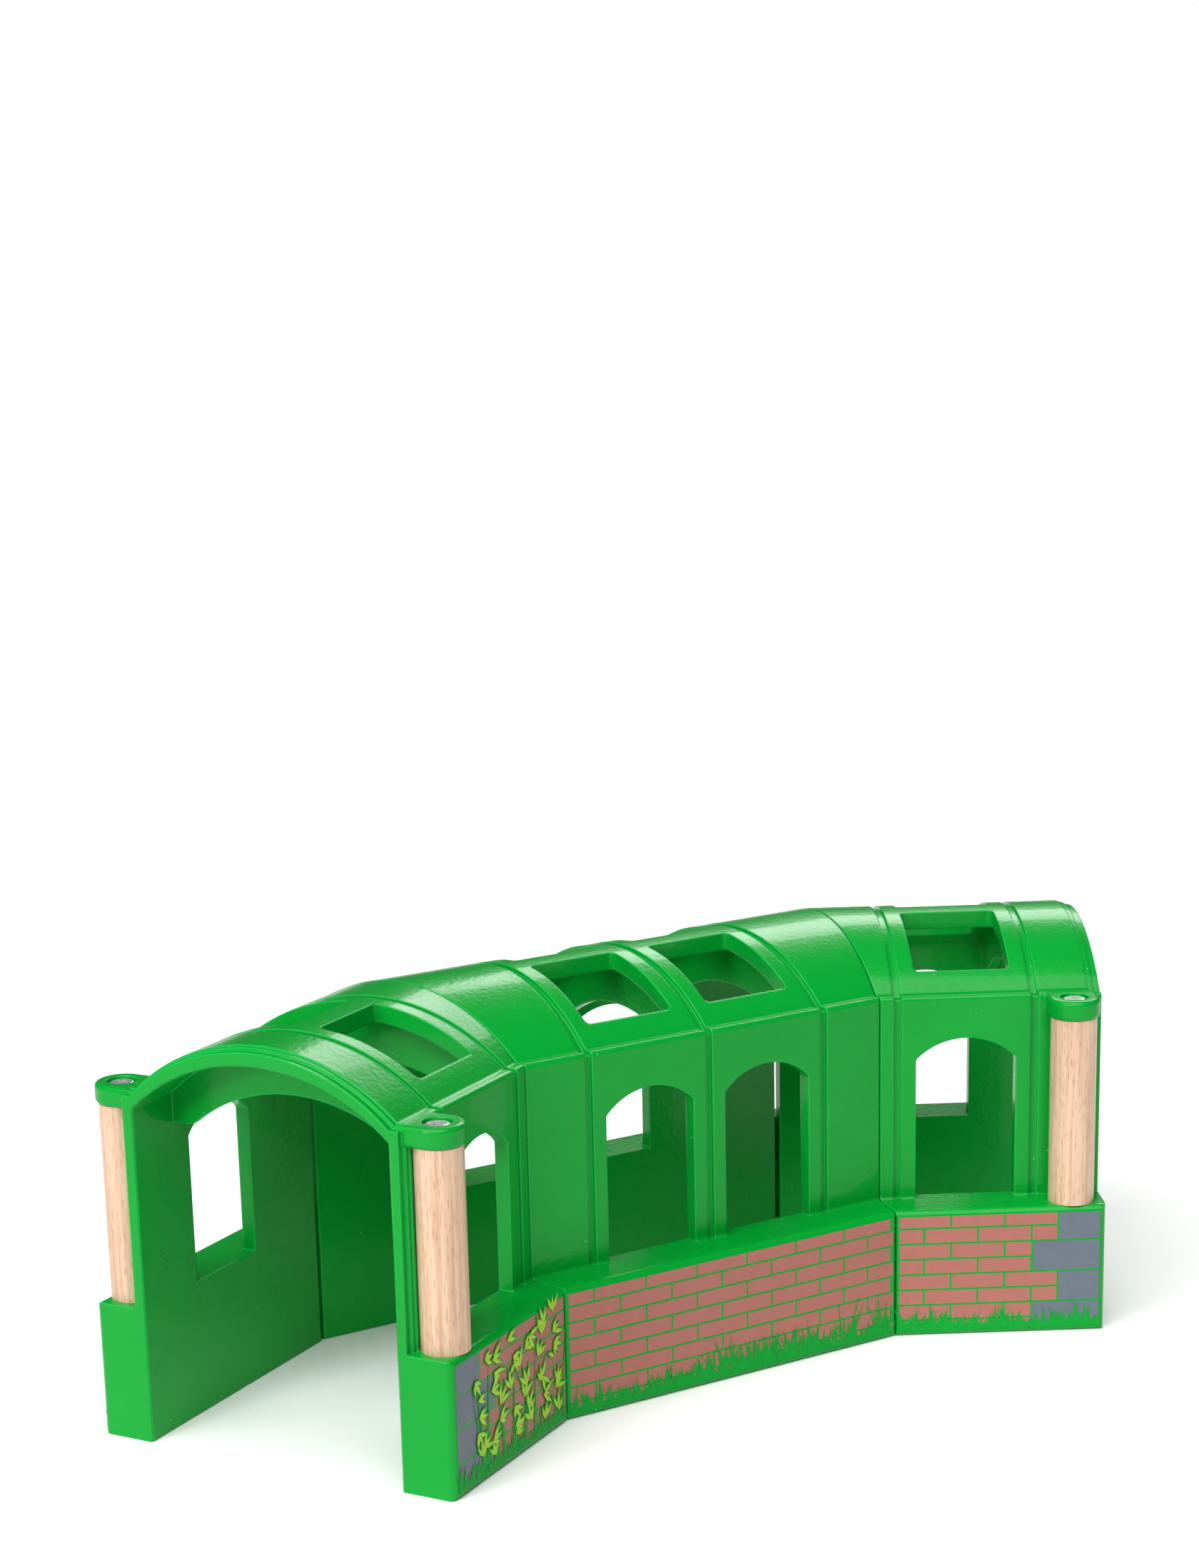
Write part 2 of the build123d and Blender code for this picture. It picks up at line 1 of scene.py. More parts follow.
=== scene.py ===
import math

import bpy
import bmesh
from mathutils import Matrix, Vector


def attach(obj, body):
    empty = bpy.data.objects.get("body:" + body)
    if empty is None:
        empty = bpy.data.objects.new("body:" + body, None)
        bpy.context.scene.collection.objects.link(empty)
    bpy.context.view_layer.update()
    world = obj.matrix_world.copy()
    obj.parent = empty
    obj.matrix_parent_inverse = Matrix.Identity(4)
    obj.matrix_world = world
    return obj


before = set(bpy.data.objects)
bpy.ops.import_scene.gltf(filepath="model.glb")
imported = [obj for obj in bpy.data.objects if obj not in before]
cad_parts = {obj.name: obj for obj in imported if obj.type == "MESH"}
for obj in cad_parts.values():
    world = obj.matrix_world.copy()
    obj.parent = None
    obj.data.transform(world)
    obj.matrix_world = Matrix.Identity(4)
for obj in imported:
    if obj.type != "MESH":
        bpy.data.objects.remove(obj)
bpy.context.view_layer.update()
print("frame loaded")

# plan of the three sections, in metres
plan = {
    "bend": math.radians(30),       # each seam
    "halfLength": 0.0649,           # middle section, centre to seam
    "seamRun": 0.01535,             # seam to an end section's first groove
    "mouthReach": 0.0537,           # that groove to the open mouth
    "sideShift": 0.013866,          # how far the middle section lies towards the far side
    "plinthHalf": 0.0507,           # centre line to a plinth's face
    "hingeOffset": 0.044,           # centre line to a hinge pin
}


def sectionFrame(name):
    # local x runs outwards along the section, y to the far side
    bend, shift = plan["bend"], plan["sideShift"]
    if name == "middle":
        return Matrix.Translation((0, shift, 0))
    side = 1 if name == "rear" else -1
    x = plan["halfLength"] + plan["seamRun"] * math.cos(bend)
    y = shift - plan["seamRun"] * math.sin(bend)
    return Matrix.Translation((side * x, y, 0)) @ Matrix.Rotation(-side * bend, 4, "Z")


def nodeLine(tree, kind, inputs=None, **fields):
    # adds a node, sets its fields, then its sockets or the links into them
    made = tree.nodes.new(kind)
    for key, value in fields.items():
        setattr(made, key, value)
    for key, value in (inputs or {}).items():
        socket = made.inputs[key]
        if isinstance(value, bpy.types.NodeSocket):
            tree.links.new(value, socket)
        else:
            socket.default_value = value
    return made


# camera, floor and light
studio = {
    "cameraPlace": (-0.4185, -0.6541 + plan["sideShift"], 0.2877),
    "yaw": math.radians(-30.78),
    "pitch": math.radians(-15.22),
    "roll": math.radians(-1.67),
    "lens": 69.78,
    "sensor": 36,
    "farClip": 200,
    "shift": (0.0441, 0.1709),
    "floorTone": 0.98,
    "floorRoughness": 0.9,
    "floorReach": 1.8,              # past it the white wall takes over
    "white": (1, 1, 1, 1),
    "roomLight": 0.05,
    "wallLight": 1.0,
    "sun": 3.75,
    "sunSpread": math.radians(70),
    "sunFrom": (-0.45, -0.35, 1.0),
    "panels": [
        # name, place, aim, size, power
        ("mouthPanel", (-1.3, -0.35, 0.45), (-0.1, 0, 0.05), (0.30, 0.22), 4.5),
        ("rearRimPanel", (0.9, 0.9, 0.8), (0.05, 0, 0.08), (0.7, 0.4), 5),
    ],
}


def setCamera():
    bpy.context.scene.view_settings.view_transform = "Standard"
    data = bpy.data.cameras.new("camera")
    data.sensor_width = studio["sensor"]
    data.lens = studio["lens"]
    data.shift_x, data.shift_y = studio["shift"]
    data.clip_end = studio["farClip"]
    camera = bpy.data.objects.new("camera", data)
    turn = (Matrix.Rotation(studio["yaw"], 4, "Z") @ Matrix.Rotation(math.pi / 2 + studio["pitch"], 4, "X")
            @ Matrix.Rotation(studio["roll"], 4, "Z"))
    camera.matrix_world = Matrix.Translation(studio["cameraPlace"]) @ turn
    bpy.context.scene.collection.objects.link(camera)
    bpy.context.scene.camera = camera


def setRoom():
    # the camera sees a white wall, while the part is lit by a dim room
    world = bpy.data.worlds.new("softRoom")
    bpy.context.scene.world = world
    world.use_nodes = True
    tree = world.node_tree
    room = tree.nodes["Background"]
    room.inputs["Color"].default_value = studio["white"]
    room.inputs["Strength"].default_value = studio["roomLight"]
    wall = nodeLine(tree, "ShaderNodeBackground", {"Color": studio["white"], "Strength": studio["wallLight"]})
    seen = nodeLine(tree, "ShaderNodeLightPath").outputs["Is Camera Ray"]
    mix = nodeLine(tree, "ShaderNodeMixShader", {0: seen, 1: room.outputs[0], 2: wall.outputs[0]})
    tree.links.new(mix.outputs[0], tree.nodes["World Output"].inputs["Surface"])


def addLamp(name, kind, place, facing, **fields):
    # facing points from what is lit to the lamp
    light = bpy.data.lights.new(name, kind)
    for key, value in fields.items():
        setattr(light, key, value)
    lamp = bpy.data.objects.new(name, light)
    lamp.matrix_world = Matrix.Translation(place) @ facing.to_track_quat("Z", "Y").to_matrix().to_4x4()
    bpy.context.scene.collection.objects.link(lamp)


def setLights():
    facing = Vector(studio["sunFrom"])
    addLamp("overheadSun", "SUN", (0, 0, 0), facing, energy=studio["sun"], angle=studio["sunSpread"])
    for name, place, aim, (wide, high), power in studio["panels"]:
        facing = Vector(place) - Vector(aim)
        addLamp(name, "AREA", place, facing, shape="RECTANGLE", size=wide, size_y=high, energy=power)


def setFloor():
    reach = studio["floorReach"]
    corners = [(-reach, -reach, 0), (reach, -reach, 0), (reach, reach, 0), (-reach, reach, 0)]
    mesh = bpy.data.meshes.new("floor")
    mesh.from_pydata(corners, [], [(0, 1, 2, 3)])
    floor = bpy.data.objects.new("floor", mesh)
    bpy.context.scene.collection.objects.link(floor)
    floorPaper = bpy.data.materials.new("floorPaper")
    floorPaper.use_nodes = True
    shader = floorPaper.node_tree.nodes["Principled BSDF"]
    shader.inputs["Base Color"].default_value = (studio["floorTone"],) * 3 + (1,)
    shader.inputs["Roughness"].default_value = studio["floorRoughness"]
    mesh.materials.append(floorPaper)


setCamera()
setRoom()
setLights()
setFloor()
print("camera, floor and light set")


# small steps that the materials share
def objectPlace(tree):
    return nodeLine(tree, "ShaderNodeTexCoord").outputs["Object"]


def noise(tree, place, scale, **more):
    return nodeLine(tree, "ShaderNodeTexNoise", {"Vector": place, "Scale": scale, **more}).outputs["Fac"]


def stretched(tree, place, scale):
    return nodeLine(tree, "ShaderNodeMapping", {"Vector": place, "Scale": scale}).outputs[0]


def ramp(tree, value, start, stop):
    # 0 at start, 1 at stop
    return nodeLine(tree, "ShaderNodeMapRange", {"Value": value, "From Min": start, "From Max": stop}).outputs[0]


def spread(tree, value, low, high):
    # 0 gives low, 1 gives high
    return nodeLine(tree, "ShaderNodeMapRange", {"Value": value, "To Min": low, "To Max": high}).outputs[0]


def colourMix(tree, factor, first, second):
    return nodeLine(tree, "ShaderNodeMix", {0: factor, 6: first, 7: second}, data_type="RGBA").outputs[2]


def figure(tree, operation, *values):
    # one step of arithmetic
    return nodeLine(tree, "ShaderNodeMath", dict(enumerate(values)), operation=operation).outputs[0]


def bumped(tree, shader, height, strength, distance, normal=None, invert=False):
    inputs = {"Height": height, "Strength": strength, "Distance": distance}
    if normal is not None:
        inputs["Normal"] = normal
    bump = nodeLine(tree, "ShaderNodeBump", inputs, invert=invert)
    tree.links.new(bump.outputs[0], shader.inputs["Normal"])


# effects that several finishes use
def effectGroup(name, inputs, outputs):
    group = bpy.data.node_groups.new(name, "ShaderNodeTree")
    for label, kind, value in inputs:
        socket = group.interface.new_socket(label, in_out="INPUT", socket_type=kind)
        socket.default_value = value
    for label, kind in outputs:
        group.interface.new_socket(label, in_out="OUTPUT", socket_type=kind)
    return group, group.nodes.new("NodeGroupInput").outputs, group.nodes.new("NodeGroupOutput").inputs


peel = {
    "cell": 700.0,              # bumps, per metre
    "detail": 2.0,
    "roughness": 0.45,
    "mottle": 60.0,
    "mottleDetail": 3.0,
    "speckCell": 420.0,
    "speckEdge": (0.08, 0.03),  # nothing at the first, full at the second
    "speckFrom": 0.955,         # only cells that draw more than this have one
}


def makePeel():
    # orange-peel skin of sprayed gloss paint: its height, a faint mottle and rare pale specks
    group, given, wanted = effectGroup(
        "paintPeel",
        [("Cell", "NodeSocketFloat", peel["cell"]), ("Mottle", "NodeSocketFloat", peel["mottle"])],
        [("Height", "NodeSocketFloat"), ("Mottle", "NodeSocketFloat"), ("Specks", "NodeSocketFloat")],
    )
    place = objectPlace(group)
    height = noise(group, place, given["Cell"], Detail=peel["detail"], Roughness=peel["roughness"])
    mottle = noise(group, place, given["Mottle"], Detail=peel["mottleDetail"])
    dots = nodeLine(group, "ShaderNodeTexVoronoi", {"Vector": place, "Scale": peel["speckCell"]}).outputs
    small = ramp(group, dots["Distance"], *peel["speckEdge"])
    draw = nodeLine(group, "ShaderNodeSeparateColor", {"Color": dots["Color"]}).outputs[0]
    rare = figure(group, "GREATER_THAN", draw, peel["speckFrom"])
    group.links.new(height, wanted["Height"])
    group.links.new(mottle, wanted["Mottle"])
    group.links.new(figure(group, "MULTIPLY", small, rare), wanted["Specks"])
    return group


wearAndSheen = {"spread": 0.0008, "samples": 8, "edge": (0.995, 0.80)}


def makeWearAndSheen():
    # paint thins and pales on the edges, and the paler colour there is also a painted highlight along edges and
    # creases: a mask from the surface's own curvature
    group, given, wanted = effectGroup(
        "edgeThin",
        [("Spread", "NodeSocketFloat", wearAndSheen["spread"])],
        [("Wear and sheen", "NodeSocketFloat"), ("Soft normal", "NodeSocketVector")],
    )
    bent = nodeLine(group, "ShaderNodeBevel", {"Radius": given["Spread"]}, samples=wearAndSheen["samples"]).outputs[0]
    flat = nodeLine(group, "ShaderNodeNewGeometry").outputs["Normal"]
    same = nodeLine(group, "ShaderNodeVectorMath", {0: bent, 1: flat}, operation="DOT_PRODUCT").outputs["Value"]
    group.links.new(ramp(group, same, *wearAndSheen["edge"]), wanted["Wear and sheen"])
    group.links.new(bent, wanted["Soft normal"])
    return group


peelGroup = makePeel()
wearAndSheenGroup = makeWearAndSheen()


def effect(tree, group, **values):
    return nodeLine(tree, "ShaderNodeGroup", values, node_tree=group).outputs


# finishes
def newMaterial(name, **sockets):
    material = bpy.data.materials.new(name)
    material.use_nodes = True
    shader = material.node_tree.nodes["Principled BSDF"]
    for key, value in sockets.items():
        shader.inputs[key.replace("_", " ")].default_value = value
    return material, material.node_tree, shader


paint = {
    "green": (0.001, 0.345, 0.033, 1),
    "deep": (0.001, 0.308, 0.028, 1),
    # pale green on edges and creases: thin worn paint, and also a painted highlight
    "edge": (0.010, 0.500, 0.075, 1),
    "speck": (0.40, 0.75, 0.42, 1),
    "roughness": (0.20, 0.32),
    "specular": 0.13,
    "coat": 0.16,
    "coatRoughness": 0.06,
    "peelStrength": 0.6,
    "peelHeight": 0.00016,
}


def greenPaint(name, cell=peel["cell"], share=1.0):
    material, tree, shader = newMaterial(name, Coat_Weight=paint["coat"], Coat_Roughness=paint["coatRoughness"],
                                         Specular_IOR_Level=paint["specular"])
    skin = effect(tree, peelGroup, Cell=cell)
    wearSheen = effect(tree, wearAndSheenGroup)
    tone = colourMix(tree, skin["Mottle"], paint["green"], paint["deep"])
    # edges and creases turn paler: partly worn paint, partly a painted highlight
    tone = colourMix(tree, wearSheen["Wear and sheen"], tone, paint["edge"])
    tone = colourMix(tree, skin["Specks"], tone, paint["speck"])
    tree.links.new(tone, shader.inputs["Base Color"])
    tree.links.new(spread(tree, skin["Mottle"], *paint["roughness"]), shader.inputs["Roughness"])
    strength = paint["peelStrength"] * share
    bumped(tree, shader, skin["Height"], strength, paint["peelHeight"], normal=wearSheen["Soft normal"])
    return material


wood = {
    "pale": (0.74, 0.505, 0.345, 1),
    "dark": (0.56, 0.33, 0.20, 1),
    "fleck": (0.36, 0.165, 0.085, 1),
    "bands": (760, 760, 26),        # bands and pores are both drawn out along Z
    "bandDetail": 4.0,
    "bandRoughness": 0.55,
    "bandEdge": (0.42, 0.72),
    "pores": (2800, 2800, 250),
    "poreEdge": (0.42, 0.22),
    "poreFrom": 0.40,               # only cells that draw more than this have one
    "poreTone": 0.5,
    "poreStrength": 0.35,
    "poreDepth": 0.00008,
    "roughness": (0.38, 0.55),
    "coat": 0.25,
    "coatRoughness": 0.25,
}


def beechWood():
    # short dark pores over soft bands
    material, tree, shader = newMaterial("varnishedBeech", Coat_Weight=wood["coat"],
                                         Coat_Roughness=wood["coatRoughness"])
    place = objectPlace(tree)
    bands = noise(tree, stretched(tree, place, wood["bands"]), 1.0,
                  Detail=wood["bandDetail"], Roughness=wood["bandRoughness"])
    fine = stretched(tree, place, wood["pores"])
    pores = nodeLine(tree, "ShaderNodeTexVoronoi", {"Vector": fine, "Scale": 1.0}).outputs
    draw = nodeLine(tree, "ShaderNodeSeparateColor", {"Color": pores["Color"]}).outputs[0]
    few = figure(tree, "GREATER_THAN", draw, wood["poreFrom"])
    mask = figure(tree, "MULTIPLY", ramp(tree, pores["Distance"], *wood["poreEdge"]), few)
    colour = colourMix(tree, ramp(tree, bands, *wood["bandEdge"]), wood["pale"], wood["dark"])
    colour = colourMix(tree, figure(tree, "MULTIPLY", mask, wood["poreTone"]), colour, wood["fleck"])
    tree.links.new(colour, shader.inputs["Base Color"])
    tree.links.new(spread(tree, bands, *wood["roughness"]), shader.inputs["Roughness"])
    bumped(tree, shader, mask, wood["poreStrength"], wood["poreDepth"], invert=True)
    return material


metal = {"marks": 900.0, "detail": 3.0, "strength": 0.15, "depth": 0.00003}


def plainMetal(name, colour, low, high, metallic=1.0):
    # fine marks in the gloss
    material, tree, shader = newMaterial(name, Base_Color=colour, Metallic=metallic)
    marks = noise(tree, objectPlace(tree), metal["marks"], Detail=metal["detail"])
    tree.links.new(spread(tree, marks, low, high), shader.inputs["Roughness"])
    bumped(tree, shader, marks, metal["strength"], metal["depth"])
    return material


ink = {"cloud": 420.0, "detail": 3.0, "roughness": (0.38, 0.50), "peelStrength": 0.4, "peelHeight": 0.0001}


def inkMaterial(name, colour, shade, gloss=0.4):
    # printed ink: matt, faintly uneven, over the paint's own peel
    material, tree, shader = newMaterial(name, Specular_IOR_Level=gloss)
    cloud = noise(tree, objectPlace(tree), ink["cloud"], Detail=ink["detail"])
    tree.links.new(colourMix(tree, cloud, colour, shade), shader.inputs["Base Color"])
    tree.links.new(spread(tree, cloud, *ink["roughness"]), shader.inputs["Roughness"])
    bumped(tree, shader, effect(tree, peelGroup)["Height"], ink["peelStrength"], ink["peelHeight"])
    return material


nylon = {"pale": (0.86, 0.86, 0.82, 1), "dull": (0.80, 0.80, 0.75, 1), "cloud": 300.0, "roughness": (0.4, 0.6)}


def washerNylon():
    material, tree, shader = newMaterial("washerNylon")
    cloud = noise(tree, objectPlace(tree), nylon["cloud"])
    tree.links.new(colourMix(tree, cloud, nylon["pale"], nylon["dull"]), shader.inputs["Base Color"])
    tree.links.new(spread(tree, cloud, *nylon["roughness"]), shader.inputs["Roughness"])
    return material


finishes = {
    "shell": greenPaint("greenPaint"),
    "plate": greenPaint("greenPlate", cell=1200.0, share=0.5),
    "column": beechWood(),
    # screws are only three-quarters metallic, so part of their pale colour shows as diffuse: a painted reflection
    # that keeps them bright in the dim room
    "screw": plainMetal("screwPaintedShine", (0.86, 0.86, 0.87, 1), 0.12, 0.28, metallic=0.75),
    "pin": plainMetal("pinSteel", (0.55, 0.55, 0.56, 1), 0.25, 0.4),
    "washer": washerNylon(),
    "magnet": plainMetal("nickel", (0.70, 0.68, 0.64, 1), 0.12, 0.25),
    "turf": inkMaterial("turfInk", (0.001, 0.350, 0.034, 1), (0.001, 0.315, 0.029, 1), gloss=0.13),
    "brick": inkMaterial("brickInk", (0.42, 0.145, 0.112, 1), (0.37, 0.127, 0.098, 1)),
    "stone": inkMaterial("stoneInk", (0.132, 0.160, 0.200, 1), (0.114, 0.138, 0.174, 1)),
    "leaf": inkMaterial("leafInk", (0.40, 0.68, 0.03, 1), (0.34, 0.60, 0.025, 1), gloss=0.2),
}


def dressNodes():
    # screw comes before column and plate, whose names their own screws also hold
    words = ("shell", "screw", "column", "plate", "washer", "magnet")
    for name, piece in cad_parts.items():
        key = next((word for word in words if word in name), "pin")
        for slot in piece.material_slots:
            slot.material = finishes[key]


dressNodes()
print("finishes on", len(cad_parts), "parts")


# small steps that the printed panels' trees share
def printTree(name, sizes, inks):
    # empty geometry tree with an input for each size and each ink, and a geometry output
    kinds = {float: "NodeSocketFloat", int: "NodeSocketInt", tuple: "NodeSocketVector"}
    tree = bpy.data.node_groups.new(name, "GeometryNodeTree")
    tree.interface.new_socket("Geometry", in_out="OUTPUT", socket_type="NodeSocketGeometry")
    for label, value in sizes.items():
        socket = tree.interface.new_socket(label, in_out="INPUT", socket_type=kinds[type(value)])
        socket.default_value = value
    for label in inks:
        tree.interface.new_socket(label, in_out="INPUT", socket_type="NodeSocketMaterial")
    return tree, tree.nodes.new("NodeGroupInput").outputs, tree.nodes.new("NodeGroupOutput").inputs[0]


def sums(tree):
    # a + b, a - b, a * b, a / b and a * b + c, each as a function
    def step(operation):
        return lambda *values: figure(tree, operation, *values)

    return [step(operation) for operation in ("ADD", "SUBTRACT", "MULTIPLY", "DIVIDE", "MULTIPLY_ADD")]


def pointNumber(tree):
    return nodeLine(tree, "GeometryNodeInputIndex").outputs[0]


def pickValue(tree, test, no, yes):
    inputs = {"Switch": test, "False": no, "True": yes}
    return nodeLine(tree, "GeometryNodeSwitch", inputs, input_type="FLOAT").outputs[0]


def vector(tree, x=0.0, y=0.0, z=0.0):
    return nodeLine(tree, "ShaderNodeCombineXYZ", {"X": x, "Y": y, "Z": z}).outputs[0]


def parted(tree, socket):
    return nodeLine(tree, "ShaderNodeSeparateXYZ", {0: socket}).outputs


def chance(tree, low, high, seed, number=None):
    # a value drawn for each point, or for each number when one is given
    inputs = {2: low, 3: high, "Seed": seed}
    if number is not None:
        inputs["ID"] = number
    return nodeLine(tree, "FunctionNodeRandomValue", inputs, data_type="FLOAT").outputs[1]


def rectangle(tree, wide, high):
    inputs = {"Size X": wide, "Size Y": high, "Vertices X": 2, "Vertices Y": 2}
    return nodeLine(tree, "GeometryNodeMeshGrid", inputs).outputs[0]


def polygon(tree, corners):
    inputs = {"Vertices": corners, "Radius": 1.0}
    return nodeLine(tree, "GeometryNodeMeshCircle", inputs, fill_type="NGON").outputs[0]


def moved(tree, geometry, **placing):
    return nodeLine(tree, "GeometryNodeTransform", {"Geometry": geometry, **placing}).outputs[0]


def triangle(tree):
    # one blade: base of 1 on the X axis, tip at Y = 1
    upright = moved(tree, polygon(tree, 3), Rotation=(0.0, 0.0, math.pi / 2))
    return moved(tree, upright, Translation=(0.0, 1 / 3, 0.0), Scale=(0.5774, 0.6667, 1.0))


def sizedPoints(tree, count, place, wide, high):
    # width and height are kept on the points, so that they are read where the shapes are laid
    points = nodeLine(tree, "GeometryNodePoints", {"Count": count, "Position": place}).outputs[0]
    for name, value in (("wide", wide), ("high", high)):
        inputs = {"Geometry": points, "Name": name, "Value": value}
        kept = nodeLine(tree, "GeometryNodeStoreNamedAttribute", inputs, data_type="FLOAT", domain="POINT")
        points = kept.outputs[0]
    return points


def stored(tree, name):
    return nodeLine(tree, "GeometryNodeInputNamedAttribute", {"Name": name}, data_type="FLOAT").outputs[0]


def laidOn(tree, points, shape, turn=None, keep=None):
    # one copy of a flat shape on each kept point, as wide and as high as the point says
    size = vector(tree, stored(tree, "wide"), stored(tree, "high"), 1.0)
    inputs = {"Points": points, "Instance": shape, "Scale": size}
    if turn is not None:
        inputs["Rotation"] = nodeLine(tree, "FunctionNodeEulerToRotation", {0: vector(tree, z=turn)}).outputs[0]
    if keep is not None:
        inputs["Selection"] = keep
    return nodeLine(tree, "GeometryNodeInstanceOnPoints", inputs).outputs[0]


def inked(tree, parts, target):
    # realizes each layer, gives it its ink and joins them; the mesh is plain when it leaves the tree
    joined = nodeLine(tree, "GeometryNodeJoinGeometry")
    for geometry, colour in parts:
        real = nodeLine(tree, "GeometryNodeRealizeInstances", {0: geometry}).outputs[0]
        coloured = nodeLine(tree, "GeometryNodeSetMaterial", {0: real, "Material": colour}).outputs[0]
        tree.links.new(coloured, joined.inputs[0])
    tree.links.new(joined.outputs[0], target)


masonry = {
    "inputs": {
        "Length": 0.1,
        "Pitch": 0.0154,        # brick and one joint, along the course
        "Course": 0.00425,
        "Top course": 0.0036,
        "Joint": 0.00055,
        "Top": 0.0332,          # above the floor
        "Foot": 0.0017,
        "Rows": 8,
        "Lead": 0.0,            # shift of the first brick
        "Half first": 0,        # 1 starts the top course with half a brick
        "Narrow stone": 0.0,
        "Wide stone": 0.0,
        "Mirror": 1.0,          # -1 puts the stones at the other end
        "Lift": 0.00004,
    },
    "ends": {"Narrow stone": 0.0113, "Wide stone": 0.0181, "Lead": -0.0003, "Pitch": 0.0142},
    "middle": {"Half first": 1},
    "least": 0.0006,            # anything narrower or lower is left out
}


def makeCourses():
    # bricks in running bond, with corner stones two courses tall at one end of the panel
    tree, given, target = printTree("brickCourses", masonry["inputs"], ["Brick", "Stone"])
    plus, minus, times, over, timesPlus = sums(tree)
    number = pointNumber(tree)
    square = rectangle(tree, 1.0, 1.0)
    across = figure(tree, "CEIL", plus(over(given["Length"], given["Pitch"]), 1.0))

    def between(value, low, high):
        return figure(tree, "MINIMUM", figure(tree, "MAXIMUM", value, low), high)

    def rowEdges(row, count):
        # upper edge and height of a row, or of a pair of rows when count is 2
        first = figure(tree, "LESS_THAN", row, 0.5)
        below = timesPlus(minus(times(row, count), 1.0), given["Course"], given["Top course"])
        upper = minus(given["Top"], pickValue(tree, first, below, 0.0))
        tall = times(given["Course"], count)
        short = timesPlus(given["Course"], count - 1.0, given["Top course"])
        high = minus(pickValue(tree, first, tall, short), given["Joint"])
        high = figure(tree, "MINIMUM", high, minus(upper, given["Foot"]))
        return upper, figure(tree, "MAXIMUM", high, 0.0)

    def rectangles(count, left, right, wide, upper, high):
        # one for each point, mirrored end for end when asked
        middle = times(plus(left, right), 0.5)
        other = minus(given["Length"], middle)
        x = pickValue(tree, figure(tree, "LESS_THAN", given["Mirror"], 0.0), middle, other)
        place = vector(tree, x, timesPlus(high, -0.5, upper), given["Lift"])
        points = sizedPoints(tree, count, place, wide, high)
        smaller = figure(tree, "MINIMUM", stored(tree, "wide"), stored(tree, "high"))
        return laidOn(tree, points, square, keep=figure(tree, "GREATER_THAN", smaller, masonry["least"]))

    row = figure(tree, "FLOOR", over(number, across))
    place = minus(number, times(row, across))
    halfBrick = times(figure(tree, "MODULO", plus(row, given["Half first"]), 2.0), 0.5)
    start = timesPlus(minus(place, halfBrick), given["Pitch"], given["Lead"])
    stop = minus(plus(start, given["Pitch"]), given["Joint"])
    pair = figure(tree, "MODULO", figure(tree, "FLOOR", times(row, 0.5)), 2.0)
    stone = pickValue(tree, figure(tree, "GREATER_THAN", pair, 0.5), given["Narrow stone"], given["Wide stone"])
    limit = minus(given["Length"], stone)
    left, right = between(start, 0.0, limit), between(stop, 0.0, limit)
    bricks = rectangles(times(across, given["Rows"]), left, right, minus(right, left), *rowEdges(row, 1.0))

    odd = figure(tree, "GREATER_THAN", figure(tree, "MODULO", number, 2.0), 0.5)
    broad = pickValue(tree, odd, given["Narrow stone"], given["Wide stone"])
    inner = plus(minus(given["Length"], broad), given["Joint"])
    wide = minus(broad, given["Joint"])
    stones = rectangles(times(given["Rows"], 0.5), inner, given["Length"], wide, *rowEdges(number, 2.0))
    inked(tree, [(bricks, given["Brick"]), (stones, given["Stone"])], target)
    return tree


turf = {
    "inputs": {
        "Length": 0.1,
        "Blades": 200,
        "Foot": 0.0015,
        "Short": 0.0015,
        "Tall": 0.0088,
        "Swell": 0.0,           # extra height over one stretch
        "Swell at": 0.5,
        "Swell width": 0.28,
        "Tufts": 160.0,         # per metre
        "Tuft gain": 2.2,
        "Blade width": 0.0011,
        "Lean": 0.45,
        "Lift": 0.00008,
        "Seed": 3,
    },
    # drawn for each blade
    "height": (0.35, 1.0),
    "width": (0.8, 1.5),
    "step": (0.00001, 0.00011),     # so that no two blades lie in one plane
}


def makeTurf():
    # a ragged strip of grass blades along the foot of a panel, taller over one stretch
    tree, given, target = printTree("turf", turf["inputs"], ["Ink"])
    plus, minus, times, over, timesPlus = sums(tree)

    def drawn(low, high, step):
        return chance(tree, low, high, plus(given["Seed"], step))

    along = over(plus(pointNumber(tree), drawn(0.0, 1.0, 0.0)), given["Blades"])
    away = over(minus(along, given["Swell at"]), given["Swell width"])
    bell = figure(tree, "EXPONENT", times(times(away, away), -1.0))
    spot = times(along, times(given["Length"], given["Tufts"]))
    rough = nodeLine(tree, "ShaderNodeTexNoise", {"W": spot, "Scale": 1.0, "Detail": 1.0}, noise_dimensions="1D")
    tuft = times(figure(tree, "POWER", rough.outputs[0], 2.0), given["Tuft gain"])
    reach = timesPlus(minus(given["Tall"], given["Short"]), times(tuft, drawn(*turf["height"], 1.0)), given["Short"])
    reach = timesPlus(bell, given["Swell"], reach)
    wide = times(given["Blade width"], drawn(*turf["width"], 2.0))
    place = vector(tree, times(along, given["Length"]), given["Foot"], plus(given["Lift"], drawn(*turf["step"], 4.0)))
    points = sizedPoints(tree, given["Blades"], place, wide, reach)
    blades = laidOn(tree, points, triangle(tree), turn=drawn(times(given["Lean"], -1.0), given["Lean"], 3.0))
    middle = vector(tree, times(given["Length"], 0.5), timesPlus(given["Short"], 0.5, given["Foot"]), given["Lift"])
    strip = moved(tree, rectangle(tree, given["Length"], given["Short"]), Translation=middle)
    inked(tree, [(blades, given["Ink"]), (strip, given["Ink"])], target)
    return tree


